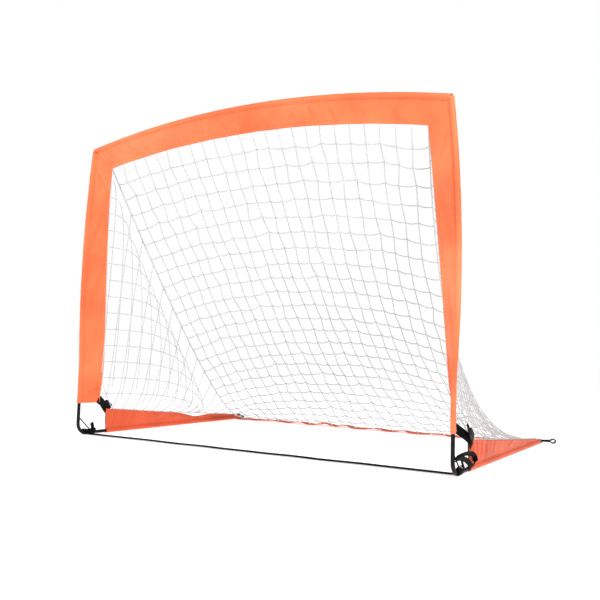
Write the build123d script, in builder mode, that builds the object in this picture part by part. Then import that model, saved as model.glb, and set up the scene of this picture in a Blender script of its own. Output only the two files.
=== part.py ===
"""Portable soccer goal frame: a sprung fibreglass arch in fabric sleeves, two swivelling legs and a net.

Millimetres, +Z up. The goal mouth faces -Y and the legs point to +Y. The origin is on the ground, in
the middle of the footprint. The right half (+X) is modelled and the left half is its mirror image.
"""

from build123d import *
import os
from math import asin, cos, degrees, radians, sin, tan

os.makedirs("parts", exist_ok=True)

# Driving dimensions
WIDTH = 1200.0  # between the post axes at the ground
LEG_LENGTH = 900.0  # from the post axis to the rear corner
CORNER_HEIGHT = 883.6  # where the post's pole meets the top elbow
POLE_D = 8.0  # fibreglass pole, hollow for its shock cord
POLE_BORE_D = 4.2
CORD_D = 2.6  # shock cord
TUBE_D = 10.0  # steel corner tube, elbow and ferrules
TUBE_BORE_D = 8.1  # runs on the pole with 0.05 clearance all round
POCKET_D = 14.0  # outside of a sewn pole pocket
POCKET_BORE_D = 10.6
BEND_BORE_D = 11.4  # room round the elbow's bend inside the mitred corner
BAND_WIDTH = 78.0  # finished width of the fabric sleeves
BAND_T = 3.0  # two layers of fabric and the hem between them
SHEET_T = 2.0  # side panels and nets
WEB_T = 1.6  # polyester webbing

HALF = WIDTH / 2
POCKET_R = POCKET_D / 2
TUBE_R = TUBE_D / 2
GROUND_Z = POCKET_R  # axis of the ground tube, so that the hem rests on the floor
GAP = 0.3  # clearance between pieces that move or don't touch

# The stake loops: a short tab behind each rear cap, then a stem that swings outwards to an upright eye
LOOP_TURN = 68.0  # degrees from straight back
LOOP_TAB = 5.0
LOOP_REACH = 38.0  # from the tab to the middle of the eye
LOOP_R = 6.5
LOOP_WIDTH = 10.0
LOOP_BACK = (LOOP_REACH + LOOP_R + WEB_T) * cos(radians(LOOP_TURN)) + LOOP_WIDTH / 2 * sin(radians(LOOP_TURN))
POST_Y = -(LEG_LENGTH + LOOP_TAB + LOOP_BACK - POCKET_R) / 2  # centres the footprint, sleeve to loops

# The post: a straight spigot, a flare outwards, then a long bow back inwards
SPIGOT_BOTTOM = 120.0
SPIGOT_TOP = 200.0
FLARE_R = 900.0
FLARE = 3.5  # degrees that the post leans outwards above the spigot
TOP_LEAN = 6.35  # degrees that it leans inwards at the top
FLARE_TOP = SPIGOT_TOP + FLARE_R * sin(radians(FLARE))
BOW_R = (CORNER_HEIGHT - FLARE_TOP) / (sin(radians(FLARE)) + sin(radians(TOP_LEAN)))
SOCKET = 35.0  # depth of pole in each end of an elbow
FERRULE = 60.0  # length of a joint ferrule
BEND_R = 14.0  # centre line of the elbow
BAR_END_SLOPE = 11.5  # degrees that the crossbar rises at its ends
POST_JOINT = 0.42  # share of the bow below the post's ferrule

# The steel corner and the leg
CORNER_BEND_R = 32.0
STEEL_END = 118.0  # where the steel ground tube ends and the panel starts
POLE_IN_STEEL = 60.0
CAP_START = 880.0
POLE_SHORT = 10.0  # the ground pole stops this far short of the cap's end
CAP_D = 13.0
BRACE_D = 3.5
BRACE_Z = 58.0
BRACE_Y = 60.0
PANEL_FRONT_Z = 78.0
PANEL_MID = (400.0, 52.0)
PANEL_TIP_Z = 16.0

# Sleeve directions, in degrees back from the goal's front plane
BAR_TILT = 13.0
SLEEVE_TILT_TOP = 13.0
SLEEVE_TWIST = 64.0
SLEEVE_TOP = 850.0  # the twist starts here
SLEEVE_BOTTOM = 100.0
SLEEVE_STATIONS = (SLEEVE_BOTTOM, 200.0, 300.0, 420.0, 550.0, 680.0, 800.0)  # heights of its sections
MITRE_SPARE = 25.0  # length that each sleeve runs past the corner before it is cut

# Webbing and its hardware: (y behind the post axis, z) where a pair is given
WRAP_START = 22.0
WRAP_END = 71.0
WRAP_TOP_R = 6.0
WRAP_TOP_Z = 17.0
STRAP_WIDTH = 20.0
STRAP_Y = 40.0
CORNER_STRAP = ((72.5, 112.0), (76.5, 135.0), (138.0, 77.0), (114.0, 78.3))
BUCKLE = (32.0, 24.0, 5.0)  # length, width, thickness
BUCKLE_AT = (126.0, 88.0)
BUCKLE_TURN = -35.0
BUCKLE_ROUND = 3.0
SLOT = (4.0, 16.0)
SLOT_OFFSET = 7.5
CARRY_X = 609.0
CARRY_WIDTH = 12.0
CARRY_CORNERS = ((8, 50), (70, 56), (140, 50), (156, 32), (140, 18), (84, 22), (50, 36), (8, 40))
CARRY_RADII = (3, 20, 12, 10, 8, 20, 20, 3)
CAP_ROUND = 2.5

# Nets and the rear band
BAND_FRONT = 838.0
BAND_INSET = 10.0  # the rear band stops short of the post axes
NET_Y = 21.0  # behind the lower edge of the crossbar's sleeve
NET_GAP = 4.0  # between the nets and the sleeves' free edges
RIDGE_TOP = (504.0, 822.0)  # x and z of the seam where the back and side nets meet, at its top
RIDGE_PULL = (400.0, 470.0, 2.0)  # the seam's control point: the net draws it inwards and down
RIDGE_END = (584.0, 866.0, 13.0)
CENTRE_PULL = (380.0, 255.0)  # y and z of the control point on the goal's middle plane
NET_BOTTOM = (BAND_FRONT - 3.0, 5.5)
NET_GRID = 9  # points each way that shape the back net
SIDE_NET_TOP = (6.0, 9.0)  # inwards and down from the back net's upper corner
SIDE_NET_HEIGHTS = (700, 550, 400, 280, 180)  # where its front edge follows the sleeve
SIDE_NET_FOOT = (142.0, PANEL_FRONT_Z + 2)
SEAM_APART = 8.0  # between the two nets along their seam

FRONT = Plane(origin=(0, POST_Y, 0), x_dir=(1, 0, 0), z_dir=(0, -1, 0))
SIDE = Plane(origin=(HALF, POST_Y, 0), x_dir=(0, 1, 0), z_dir=(1, 0, 0))


def back(y):
    """The row's Y of a point y behind the post axis."""
    return POST_Y + y


def write(part, label):
    """Label a finished piece and write its STEP file."""
    part.label = label
    export_step(part, f"parts/{label}.step")


def write_pair(part, label):
    """Write a right-hand piece and its left-hand mirror image."""
    write(part, "right_" + label)
    write(mirror(part, about=Plane.YZ), "left_" + label)


def tube(path, outer_d, bore_d=0.0, mode=Mode.ADD):
    """Sweep a round tube or rod along a path, in the current part."""
    with BuildSketch(Plane(origin=path @ 0, z_dir=path % 0)) as ring:
        Circle(outer_d / 2)
        if bore_d:
            Circle(bore_d / 2, mode=Mode.SUBTRACT)
    sweep(ring.sketch, path=path, mode=mode)


def band_section(plane, bore_d=0.0):
    """Section of a sleeve: the pole pocket with the flat band beside it, along the plane's x."""
    flap = BAND_WIDTH - POCKET_R
    with BuildSketch(plane) as section:
        Circle(POCKET_R)
        with Locations((flap / 2, 0)):
            Rectangle(flap, BAND_T)
        if bore_d:
            Circle(bore_d / 2, mode=Mode.SUBTRACT)
    return section.sketch


# Centre line of the right half of the arch, from the spigot up and along to the crest
bow_length = BOW_R * radians(FLARE + TOP_LEAN)
low_length = POST_JOINT * bow_length
high_length = bow_length - low_length - SOCKET


def arc_on(previous, radius, length):
    """An arc that carries on from a line, turning towards the goal's middle."""
    return JernArc(previous @ 1, previous % 1, radius, degrees(length / radius))


with BuildLine(FRONT) as post_low:
    spigot = Line((HALF, SPIGOT_BOTTOM), (HALF, SPIGOT_TOP))
    flare = JernArc(spigot @ 1, spigot % 1, FLARE_R, -FLARE)
    low_bow = arc_on(flare, BOW_R, low_length)
with BuildLine(FRONT) as post_high:
    high_bow = arc_on(low_bow, BOW_R, high_length)
    post_socket = arc_on(high_bow, BOW_R, SOCKET)
with BuildLine(FRONT) as elbow_bend:
    bend = JernArc(post_socket @ 1, post_socket % 1, BEND_R, 90 - TOP_LEAN - BAR_END_SLOPE)
BAR_R = (bend @ 1).X / sin(radians(BAR_END_SLOPE))
bar_half = BAR_R * radians(BAR_END_SLOPE)
with BuildLine(FRONT) as bar_right:
    bar_socket = arc_on(bend, BAR_R, SOCKET)
    bar_run = arc_on(bar_socket, BAR_R, bar_half - SOCKET)
CREST = bar_run @ 1
BAR_CENTRE_Z = CREST.Z - BAR_R
corner_reach = BEND_R * tan(radians(90 - TOP_LEAN - BAR_END_SLOPE) / 2)
CORNER = post_socket @ 1 + (post_socket % 1) * corner_reach  # where the two axes would cross

# ---------------------------------------------------------------- poles, elbows, ferrules, shock cords

with BuildPart() as post_lower_pole:
    tube(post_low.line, POLE_D, POLE_BORE_D)
write_pair(post_lower_pole.part, "post_lower_pole")

with BuildPart() as post_upper_pole:
    tube(post_high.line, POLE_D, POLE_BORE_D)
write_pair(post_upper_pole.part, "post_upper_pole")

with BuildPart() as crossbar_pole:
    tube(bar_right.line, POLE_D, POLE_BORE_D)
write_pair(crossbar_pole.part, "crossbar_pole")

with BuildLine(FRONT) as elbow_line:
    in_post = JernArc(post_socket @ 1, (post_socket % 1) * -1, BOW_R, -degrees(SOCKET / BOW_R))
with BuildPart() as top_elbow:
    tube(elbow_line.line, TUBE_D, TUBE_BORE_D)
    tube(elbow_bend.line, TUBE_D, POLE_BORE_D)
    with BuildLine(FRONT) as in_bar:
        add(bar_socket)
    tube(in_bar.line, TUBE_D, TUBE_BORE_D)
write_pair(top_elbow.part, "top_elbow")

with BuildPart() as post_ferrule:
    for turn in (1, -1):
        with BuildLine(FRONT) as half_ferrule:
            JernArc(low_bow @ 1, (low_bow % 1) * turn, BOW_R, turn * degrees(FERRULE / 2 / BOW_R))
        tube(half_ferrule.line, TUBE_D, TUBE_BORE_D)
write_pair(post_ferrule.part, "post_ferrule")

with BuildPart() as crossbar_ferrule:
    reach = FERRULE / 2 / BAR_R
    with BuildLine(FRONT) as ferrule_line:
        ThreePointArc(
            (-BAR_R * sin(reach), BAR_CENTRE_Z + BAR_R * cos(reach)),
            (0, CREST.Z),
            (BAR_R * sin(reach), BAR_CENTRE_Z + BAR_R * cos(reach)),
        )
    tube(ferrule_line.line, TUBE_D, TUBE_BORE_D)
write(crossbar_ferrule.part, "crossbar_ferrule")

with BuildPart() as post_shock_cord:
    with BuildLine(FRONT) as post_cord_line:
        add(post_low.line)
        add(post_high.line)
    tube(post_cord_line.line, CORD_D)
write_pair(post_shock_cord.part, "post_shock_cord")

with BuildPart() as crossbar_shock_cord:
    with BuildLine(FRONT) as bar_cord_line:
        ThreePointArc(
            (-(bend @ 1).X, (bend @ 1).Z),
            (0, CREST.Z),
            ((bend @ 1).X, (bend @ 1).Z),
        )
    tube(bar_cord_line.line, CORD_D)
write(crossbar_shock_cord.part, "crossbar_shock_cord")

# ---------------------------------------------------------------- fabric sleeves


def post_axis(z):
    """X and outward lean (radians) of the post's axis at a height."""
    if z <= SPIGOT_TOP:
        return HALF, 0.0
    if z <= FLARE_TOP:
        lean = asin((z - SPIGOT_TOP) / FLARE_R)
        return HALF + FLARE_R * (1 - cos(lean)), lean
    flare_x = HALF + FLARE_R * (1 - cos(radians(FLARE)))
    widest_z = FLARE_TOP + BOW_R * sin(radians(FLARE))
    widest_x = flare_x + BOW_R * (1 - cos(radians(FLARE)))
    lean = asin((widest_z - z) / BOW_R)
    return widest_x - BOW_R * (1 - cos(lean)), lean


def sleeve_turn(z):
    """Angle (radians) of the post sleeve back from the front plane: the legs pull its foot round."""
    drop = max(0.0, SLEEVE_TOP - z) / (SLEEVE_TOP - SLEEVE_BOTTOM)
    return radians(SLEEVE_TILT_TOP + SLEEVE_TWIST * drop**1.5)


def sleeve_plane(z):
    """Plane across the post at a height, with x along the sleeve's band."""
    x, lean = post_axis(z)
    along = Vector(sin(lean), 0, cos(lean))
    band = Vector(-cos(sleeve_turn(z)), sin(sleeve_turn(z)), 0)
    band = (band - along * band.dot(along)).normalized()
    return Plane(origin=(x, POST_Y, z), x_dir=band, z_dir=along)


# The mitre runs down and inwards from the corner, half-way between the post and the crossbar
to_post = Vector(sin(radians(TOP_LEAN)), 0, -cos(radians(TOP_LEAN)))
to_bar = Vector(-cos(radians(BAR_END_SLOPE)), 0, sin(radians(BAR_END_SLOPE)))
mitre_line = (to_post + to_bar).normalized()
mitre_normal = Vector(mitre_line.Z, 0, -mitre_line.X)
if mitre_normal.dot(to_bar) < 0:
    mitre_normal = mitre_normal * -1
bar_side = Plane(origin=CORNER + mitre_normal * (GAP / 2), z_dir=mitre_normal)
post_side = Plane(origin=CORNER - mitre_normal * (GAP / 2), z_dir=mitre_normal * -1)

with BuildPart() as post_sleeve:
    loft([band_section(sleeve_plane(z)) for z in (*SLEEVE_STATIONS, CORNER.Z + MITRE_SPARE)])
    with BuildLine(FRONT) as post_pocket:
        sleeve_start = Line((HALF, SLEEVE_BOTTOM - 5), (HALF, SPIGOT_TOP))
        pocket_flare = JernArc(sleeve_start @ 1, sleeve_start % 1, FLARE_R, -FLARE)
        arc_on(pocket_flare, BOW_R, bow_length + 2 * MITRE_SPARE)
    tube(post_pocket.line, POCKET_BORE_D, mode=Mode.SUBTRACT)
    tube(elbow_bend.line, BEND_BORE_D, mode=Mode.SUBTRACT)
    split(bisect_by=post_side)
write_pair(post_sleeve.part, "post_sleeve")

with BuildPart() as crossbar_sleeve:
    spread = radians(BAR_END_SLOPE) + (corner_reach + MITRE_SPARE) / BAR_R
    with BuildLine(FRONT) as bar_line:
        JernArc((0, CREST.Z), (1, 0), BAR_R, -degrees(spread))
    hang = Vector(0, sin(radians(BAR_TILT)), -cos(radians(BAR_TILT)))
    crest_plane = Plane(origin=CREST, x_dir=hang, z_dir=(1, 0, 0))
    sweep(band_section(crest_plane, POCKET_BORE_D), path=bar_line.line)
    tube(elbow_bend.line, BEND_BORE_D, mode=Mode.SUBTRACT)
    split(bisect_by=bar_side)
    mirror(about=Plane.YZ)
write(crossbar_sleeve.part, "crossbar_sleeve")

# ---------------------------------------------------------------- the legs: steel corners, poles, panels


def side_line(*points):
    """A line through points (y behind the post axis, z) in the right leg's own plane."""
    with BuildLine(SIDE) as made:
        Polyline(*points)
    return made.line


with BuildLine(SIDE) as corner_line:
    FilletPolyline((0, SPIGOT_TOP), (0, GROUND_Z), (STEEL_END, GROUND_Z), radius=CORNER_BEND_R)

with BuildPart() as corner_tube:
    tube(corner_line.line, TUBE_D, TUBE_BORE_D)
write_pair(corner_tube.part, "corner_tube")

with BuildPart() as corner_brace:
    tube(side_line((0, BRACE_Z), (BRACE_Y, GROUND_Z)), BRACE_D)
    tube(corner_line.line, TUBE_D, mode=Mode.SUBTRACT)
write_pair(corner_brace.part, "corner_brace")

with BuildPart() as ground_pole:
    tube(side_line((POLE_IN_STEEL, GROUND_Z), (LEG_LENGTH - POLE_SHORT, GROUND_Z)), POLE_D, POLE_BORE_D)
write_pair(ground_pole.part, "ground_pole")

with BuildPart() as rear_cap:
    tube(side_line((CAP_START, GROUND_Z), (LEG_LENGTH, GROUND_Z)), CAP_D)
    socket_end = LEG_LENGTH - POLE_SHORT + GAP
    tube(side_line((CAP_START, GROUND_Z), (socket_end, GROUND_Z)), TUBE_BORE_D, mode=Mode.SUBTRACT)
    fillet(rear_cap.faces().sort_by(Axis.Y)[-1].edges(), radius=CAP_ROUND)
write_pair(rear_cap.part, "rear_cap")

PANEL_END = CAP_START - GAP
with BuildPart() as side_panel:
    with BuildSketch(SIDE) as triangle:
        Polygon(
            (STEEL_END + GAP, GROUND_Z),
            (STEEL_END - 4, PANEL_FRONT_Z),
            PANEL_MID,
            (PANEL_END, PANEL_TIP_Z),
            (PANEL_END, GROUND_Z),
            align=None,
        )
    extrude(amount=SHEET_T / 2, both=True)
    tube(side_line((STEEL_END + GAP, GROUND_Z), (PANEL_END, GROUND_Z)), POCKET_D)
    tube(side_line((STEEL_END, GROUND_Z), (PANEL_END + 1, GROUND_Z)), POCKET_BORE_D, mode=Mode.SUBTRACT)
write_pair(side_panel.part, "side_panel")

# ---------------------------------------------------------------- webbing and its hardware

with BuildPart() as strap_wrap:
    with BuildSketch(FRONT.offset(-WRAP_START)):
        with Locations((HALF, GROUND_Z)):
            Circle(POCKET_R)
        with Locations((HALF, WRAP_TOP_Z)):
            Circle(WRAP_TOP_R)
    extrude(amount=-(WRAP_END - WRAP_START))
    tube(side_line((0, BRACE_Z), (BRACE_Y, GROUND_Z)), BRACE_D + 2 * GAP, mode=Mode.SUBTRACT)
    tube(corner_line.line, TUBE_D + 0.2, mode=Mode.SUBTRACT)
write_pair(strap_wrap.part, "strap_wrap")

with BuildPart() as front_strap:
    with Locations((0, back(STRAP_Y), WEB_T / 2)):
        Box(2 * (HALF - POCKET_R - GAP), STRAP_WIDTH, WEB_T)
write(front_strap.part, "front_strap")

with BuildPart() as corner_strap:
    with BuildSketch(SIDE):
        Polygon(*CORNER_STRAP, align=None)
    extrude(amount=WEB_T / 2, both=True)
write_pair(corner_strap.part, "corner_strap")

with BuildPart() as strap_buckle:
    with BuildSketch(SIDE.offset(SHEET_T / 2 + GAP)):
        with Locations(Location((BUCKLE_AT[0], BUCKLE_AT[1], 0), BUCKLE_TURN)):
            RectangleRounded(BUCKLE[0], BUCKLE[1], BUCKLE_ROUND)
            with Locations((-SLOT_OFFSET, 0), (SLOT_OFFSET, 0)):
                Rectangle(*SLOT, mode=Mode.SUBTRACT)
    extrude(amount=BUCKLE[2])
write_pair(strap_buckle.part, "strap_buckle")

out, straight = sin(radians(LOOP_TURN)), cos(radians(LOOP_TURN))
loop_start = (HALF, back(LEG_LENGTH + LOOP_TAB), LOOP_R + WEB_T)
LOOP_PLANE = Plane(origin=loop_start, x_dir=(out, straight, 0), z_dir=(straight, -out, 0))
with BuildPart() as stake_loop:
    with BuildSketch(SIDE):
        with Locations((LEG_LENGTH + LOOP_TAB, LOOP_R + WEB_T)):
            Rectangle(2 * LOOP_TAB, 2 * WEB_T)
    extrude(amount=LOOP_WIDTH / 2, both=True)
    with BuildSketch(LOOP_PLANE):
        with Locations((LOOP_REACH / 2, 0)):
            Rectangle(LOOP_REACH, 2 * WEB_T)
        with Locations((LOOP_REACH, 0)):
            Circle(LOOP_R + WEB_T)
            Circle(LOOP_R, mode=Mode.SUBTRACT)
    extrude(amount=LOOP_WIDTH / 2, both=True)
write_pair(stake_loop.part, "stake_loop")
print("origin to post axis, y:", round(POST_Y, 3))
print("stake eye:", LOOP_PLANE.from_local_coords((LOOP_REACH, 0, 0)))

with BuildPart() as carry_loop:
    with BuildSketch(SIDE.offset(CARRY_X - HALF)):
        with BuildLine():
            FilletPolyline(*CARRY_CORNERS, radius=list(CARRY_RADII), close=True)
        make_face()
        offset(amount=-WEB_T, kind=Kind.INTERSECTION, mode=Mode.SUBTRACT)
    extrude(amount=CARRY_WIDTH / 2, both=True)
write(carry_loop.part, "carry_loop")

# ---------------------------------------------------------------- net and rear band

with BuildPart() as rear_ground_band:
    with Locations((0, back((BAND_FRONT + LEG_LENGTH) / 2), BAND_T / 2)):
        Box(2 * (HALF - BAND_INSET), LEG_LENGTH - BAND_FRONT, BAND_T)
write(rear_ground_band.part, "rear_ground_band")


def net_point(across, down):
    """A point of the back net: across from -1 to 1 between its seams, down from 0 at the crossbar to 1."""
    edge = across**2
    crest_z = CREST.Z - BAND_WIDTH + POCKET_R - NET_GAP
    top = Vector(RIDGE_TOP[0] * across, NET_Y, crest_z - edge * (crest_z - RIDGE_TOP[1]))
    pull = Vector(
        RIDGE_PULL[0] * across,
        CENTRE_PULL[0] + edge * (RIDGE_PULL[1] - CENTRE_PULL[0]),
        CENTRE_PULL[1] + edge * (RIDGE_PULL[2] - CENTRE_PULL[1]),
    )
    corner = across**4
    foot = Vector(
        RIDGE_END[0] * across,
        NET_BOTTOM[0] + corner * (RIDGE_END[1] - NET_BOTTOM[0]),
        NET_BOTTOM[1] + corner * (RIDGE_END[2] - NET_BOTTOM[1]),
    )
    point = top * (1 - down) ** 2 + pull * (2 * down * (1 - down)) + foot * down**2
    return point + Vector(0, POST_Y, 0)


back_surface = Face.make_surface_from_array_of_points(
    [
        [net_point(2 * column / (NET_GRID - 1) - 1, row / (NET_GRID - 1)) for column in range(NET_GRID)]
        for row in range(NET_GRID)
    ]
)
with BuildPart() as rear_net:
    thicken(back_surface, amount=SHEET_T)
write(rear_net.part, "rear_net")


def sleeve_edge(z):
    """A point just behind the free edge of the post's sleeve."""
    plane = sleeve_plane(z)
    return plane.origin + plane.x_dir * (BAND_WIDTH - POCKET_R + NET_GAP)


side_top = Vector(RIDGE_TOP[0] + SIDE_NET_TOP[0], back(NET_Y), RIDGE_TOP[1] - SIDE_NET_TOP[1])
side_front = Spline(
    side_top + Vector(0, -1, 0),
    *[sleeve_edge(z) for z in SIDE_NET_HEIGHTS],
    Vector(HALF - NET_GAP, back(SIDE_NET_FOOT[0]), SIDE_NET_FOOT[1]),
)
side_seam = Bezier(
    side_top + Vector(2, 2, 0),
    Vector(RIDGE_PULL[0] + SEAM_APART, back(RIDGE_PULL[1]), RIDGE_PULL[2]),
    Vector(RIDGE_END[0] + SEAM_APART + 1, back(RIDGE_END[1] + 4), RIDGE_END[2] + 5),
)
with BuildPart() as side_net:
    thicken(Face.make_surface_from_curves(side_front.edge(), side_seam.edge()), amount=SHEET_T)
write_pair(side_net.part, "side_net")
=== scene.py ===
"""Looks of a portable fabric soccer goal: sewn sleeves on a sprung arch, webbing, steel and a white net.

Metres, in the CAD frame: +Z up, the goal mouth faces -Y, the origin is on the ground in the middle.
"""
from math import asin, cos, pi, radians, sin, sqrt, tan

import bpy
import numpy as np
from mathutils import Matrix, Vector, noise


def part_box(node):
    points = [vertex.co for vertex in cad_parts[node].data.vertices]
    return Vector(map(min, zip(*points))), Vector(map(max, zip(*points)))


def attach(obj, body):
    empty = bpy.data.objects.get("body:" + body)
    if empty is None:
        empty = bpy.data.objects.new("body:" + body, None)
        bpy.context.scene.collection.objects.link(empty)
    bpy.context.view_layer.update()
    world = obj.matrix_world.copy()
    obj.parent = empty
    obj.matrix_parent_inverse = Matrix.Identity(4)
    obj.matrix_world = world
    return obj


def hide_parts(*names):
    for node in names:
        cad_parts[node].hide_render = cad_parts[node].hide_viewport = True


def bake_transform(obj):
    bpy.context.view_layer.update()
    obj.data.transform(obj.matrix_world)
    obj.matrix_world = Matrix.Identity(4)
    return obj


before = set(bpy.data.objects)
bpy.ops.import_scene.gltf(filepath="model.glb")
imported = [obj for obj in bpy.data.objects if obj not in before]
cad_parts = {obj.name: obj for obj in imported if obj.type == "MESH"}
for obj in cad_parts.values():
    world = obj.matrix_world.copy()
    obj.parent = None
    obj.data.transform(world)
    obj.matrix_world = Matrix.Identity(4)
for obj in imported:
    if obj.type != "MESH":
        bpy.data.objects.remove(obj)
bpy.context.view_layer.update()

# ------------------------------------------------------------------ places, from the CAD frame

tube_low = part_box("right_corner_tube")[0]
TUBE_R = 0.005
HALF = tube_low.x + TUBE_R  # x of the post axis
POST_Y = tube_low.y + TUBE_R  # y of the post axis
GROUND_Z = 0.007  # z of the ground pole's axis
MIDDLE = np.array([0.0, POST_Y, 0.0])

# The arch, as in the CAD model: an upright spigot, a flare outwards, a long bow inwards, a corner, the bar
SPIGOT_TOP = 0.200
FLARE_R = 0.900
FLARE = radians(3.5)
TOP_LEAN = radians(6.35)  # of the post's top, inwards
CORNER_HEIGHT = 0.8836  # where the post's bow ends and the corner's bend begins
BEND_R = 0.014
BAR_SLOPE = radians(11.5)  # of the crossbar's ends
FLARE_TOP = SPIGOT_TOP + FLARE_R * sin(FLARE)
BOW_R = (CORNER_HEIGHT - FLARE_TOP) / (sin(FLARE) + sin(TOP_LEAN))
WIDEST_Z = FLARE_TOP + BOW_R * sin(FLARE)
WIDEST_X = HALF + (FLARE_R + BOW_R) * (1 - cos(FLARE))
TOP_X = WIDEST_X - BOW_R * (1 - cos(TOP_LEAN))
BAR_R = (TOP_X + BEND_R * (sin(BAR_SLOPE) - cos(TOP_LEAN))) / sin(BAR_SLOPE)
BAR_CENTRE_Z = CORNER_HEIGHT + BEND_R * (cos(BAR_SLOPE) - sin(TOP_LEAN)) - BAR_R * cos(BAR_SLOPE)
CORNER_REACH = BEND_R * tan((pi / 2 - TOP_LEAN - BAR_SLOPE) / 2)
CORNER_Z = CORNER_HEIGHT + CORNER_REACH * cos(TOP_LEAN)
CORNER = np.array([TOP_X - CORNER_REACH * sin(TOP_LEAN), POST_Y, CORNER_Z])  # where the axes would meet

# Fabric sleeves
BAND_REACH = 0.071  # from the pole's axis to the free edge
NET_REACH = BAND_REACH + 0.001  # where the net is sewn on
POCKET_R = 0.0066
POCKET_WELD = 0.0095  # from the axis to the stitching that closes the pocket
POCKET_TURNS = 12
POCKET_MOUTH = radians(20)  # half the angle at which the pocket opens to the band
CLOTH = 0.0011  # half the thickness of the flat band
HEM = 0.011
HEM_STITCH = HEM - 0.0008  # from the free edge to the hem's stitching
BAR_TILT = radians(13.0)  # of the crossbar's band, backwards
SLEEVE_TILT_TOP = radians(13.0)  # of the post's band at its top
SLEEVE_TWIST = radians(64.0)  # how much further it turns on its way down
SLEEVE_TOP = 0.850
SLEEVE_BOTTOM = 0.100
MITRE_GAP = -0.0003  # the two sleeves overlap this much at the mitre

# Side panels, as distances behind the post axis and heights
PANEL_START = 0.1183
PANEL_END = 0.8797
PANEL_EDGE = ((0.114, 0.078), (0.400, 0.052), (0.880, 0.016))
PINCH = (0.58, 0.011, 0.060)  # where the left panel is gathered: place, drop of its edge, half length

# Net: the back net, and the side nets behind a post and over a panel
ROW_PITCH = 0.0505
COLUMNS = 25
STRAND_WIDE = 0.00165
STRAND_THIN = 0.00145
KNOT_R = 0.0024
NET_FOOT_Z = 0.135  # the side net leaves the post's sleeve at this height
PANEL_NET_Y = 0.142  # and meets the panel's top edge here
SIDE_ROW_START = 0.128
SIDE_ROW_PITCH = 0.0515
SIDE_COLUMN_START = 0.095
SIDE_COLUMN_PITCH = 0.0475


def mitre():
    """Unit normal of the corner's mitre plane, towards the crossbar, in the goal's front plane."""
    to_post = np.array([sin(TOP_LEAN), 0, -cos(TOP_LEAN)])
    to_bar = np.array([-cos(BAR_SLOPE), 0, sin(BAR_SLOPE)])
    line = to_post + to_bar
    normal = np.array([line[2], 0, -line[0]])
    normal /= np.linalg.norm(normal)
    return normal if normal @ to_bar > 0 else -normal


MITRE = mitre()


def post_axis(z):
    """X and outward lean of the post's axis at a height."""
    if z <= SPIGOT_TOP:
        return HALF, 0.0
    if z <= FLARE_TOP:
        lean = asin((z - SPIGOT_TOP) / FLARE_R)
        return HALF + FLARE_R * (1 - cos(lean)), lean
    lean = asin((WIDEST_Z - z) / BOW_R)
    return WIDEST_X - BOW_R * (1 - cos(lean)), lean


def post_place(z):
    """Origin on the pole, direction of the band and its normal, for the right post's sleeve."""
    x, lean = post_axis(z)
    drop = max(0.0, SLEEVE_TOP - z) / (SLEEVE_TOP - SLEEVE_BOTTOM)
    turn = SLEEVE_TILT_TOP + SLEEVE_TWIST * drop**1.5
    along = np.array([sin(lean), 0, cos(lean)])
    band = np.array([-cos(turn), sin(turn), 0])
    band -= along * (band @ along)
    band /= np.linalg.norm(band)
    return np.array([x, POST_Y, z]), band, np.cross(band, along)


def bar_place(s):
    """The same for the crossbar's sleeve, s metres along the bar from its crest."""
    angle = s / BAR_R
    inward = np.array([-sin(angle), 0, -cos(angle)])
    band = inward * cos(BAR_TILT) + np.array([0, sin(BAR_TILT), 0])
    along = np.array([cos(angle), 0, -sin(angle)])
    origin = np.array([BAR_R * sin(angle), POST_Y, BAR_CENTRE_Z + BAR_R * cos(angle)])
    return origin, band, np.cross(band, along)


def edge_height(y):
    """Height of the side panel's top edge."""
    return float(np.interp(y, [p[0] for p in PANEL_EDGE], [p[1] for p in PANEL_EDGE]))


def panel_place(y):
    """The same for the right side panel's sleeve on the ground pole, y behind the post axis."""
    return np.array([HALF, POST_Y + y, GROUND_Z]), np.array([0, 0, 1.0]), np.array([1.0, 0, 0])


def meets_mitre(place, low, high, w, side):
    """Where, between low and high, a line at distance w along the band comes to the mitre plane."""
    for _ in range(40):
        middle = (low + high) / 2
        origin, band, _normal = place(middle)
        short = side * ((origin + band * w - CORNER) @ MITRE) > MITRE_GAP
        low, high = (middle, high) if short else (low, middle)
    return (low + high) / 2


# ------------------------------------------------------------------ mesh helpers


def make_mesh(name, points, faces, uvs=None, smooth=True):
    """A mesh object from points and faces; uvs gives each point its place in the weave, in metres."""
    mesh = bpy.data.meshes.new(name)
    mesh.from_pydata([tuple(p) for p in points], [], [tuple(f) for f in faces])
    if uvs is not None:
        layer = mesh.uv_layers.new(name="weave")
        corners = np.empty(len(mesh.loops), int)
        mesh.loops.foreach_get("vertex_index", corners)
        layer.data.foreach_set("uv", np.asarray(uvs, np.float32)[corners].ravel())
    mesh.polygons.foreach_set("use_smooth", np.full(len(mesh.polygons), smooth))
    mesh.validate()
    piece = bpy.data.objects.new(name, mesh)
    bpy.context.scene.collection.objects.link(piece)
    return piece


def grid_faces(rows, columns, first=0, closed=False):
    """Quads of a grid of rows x columns points; closed joins the last column to the first."""
    faces = []
    for i in range(rows - 1):
        for j in range(columns if closed else columns - 1):
            k = (j + 1) % columns
            a, b = first + i * columns, first + (i + 1) * columns
            faces.append((a + j, a + k, b + k, b + j))
    return faces


def mirrored(points):
    """Points of the left half, from those of the right half."""
    return np.asarray(points) * np.array([-1.0, 1.0, 1.0])


def flip(faces):
    """Faces wound the other way, for a mirrored mesh."""
    return [tuple(reversed(f)) for f in faces]


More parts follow.
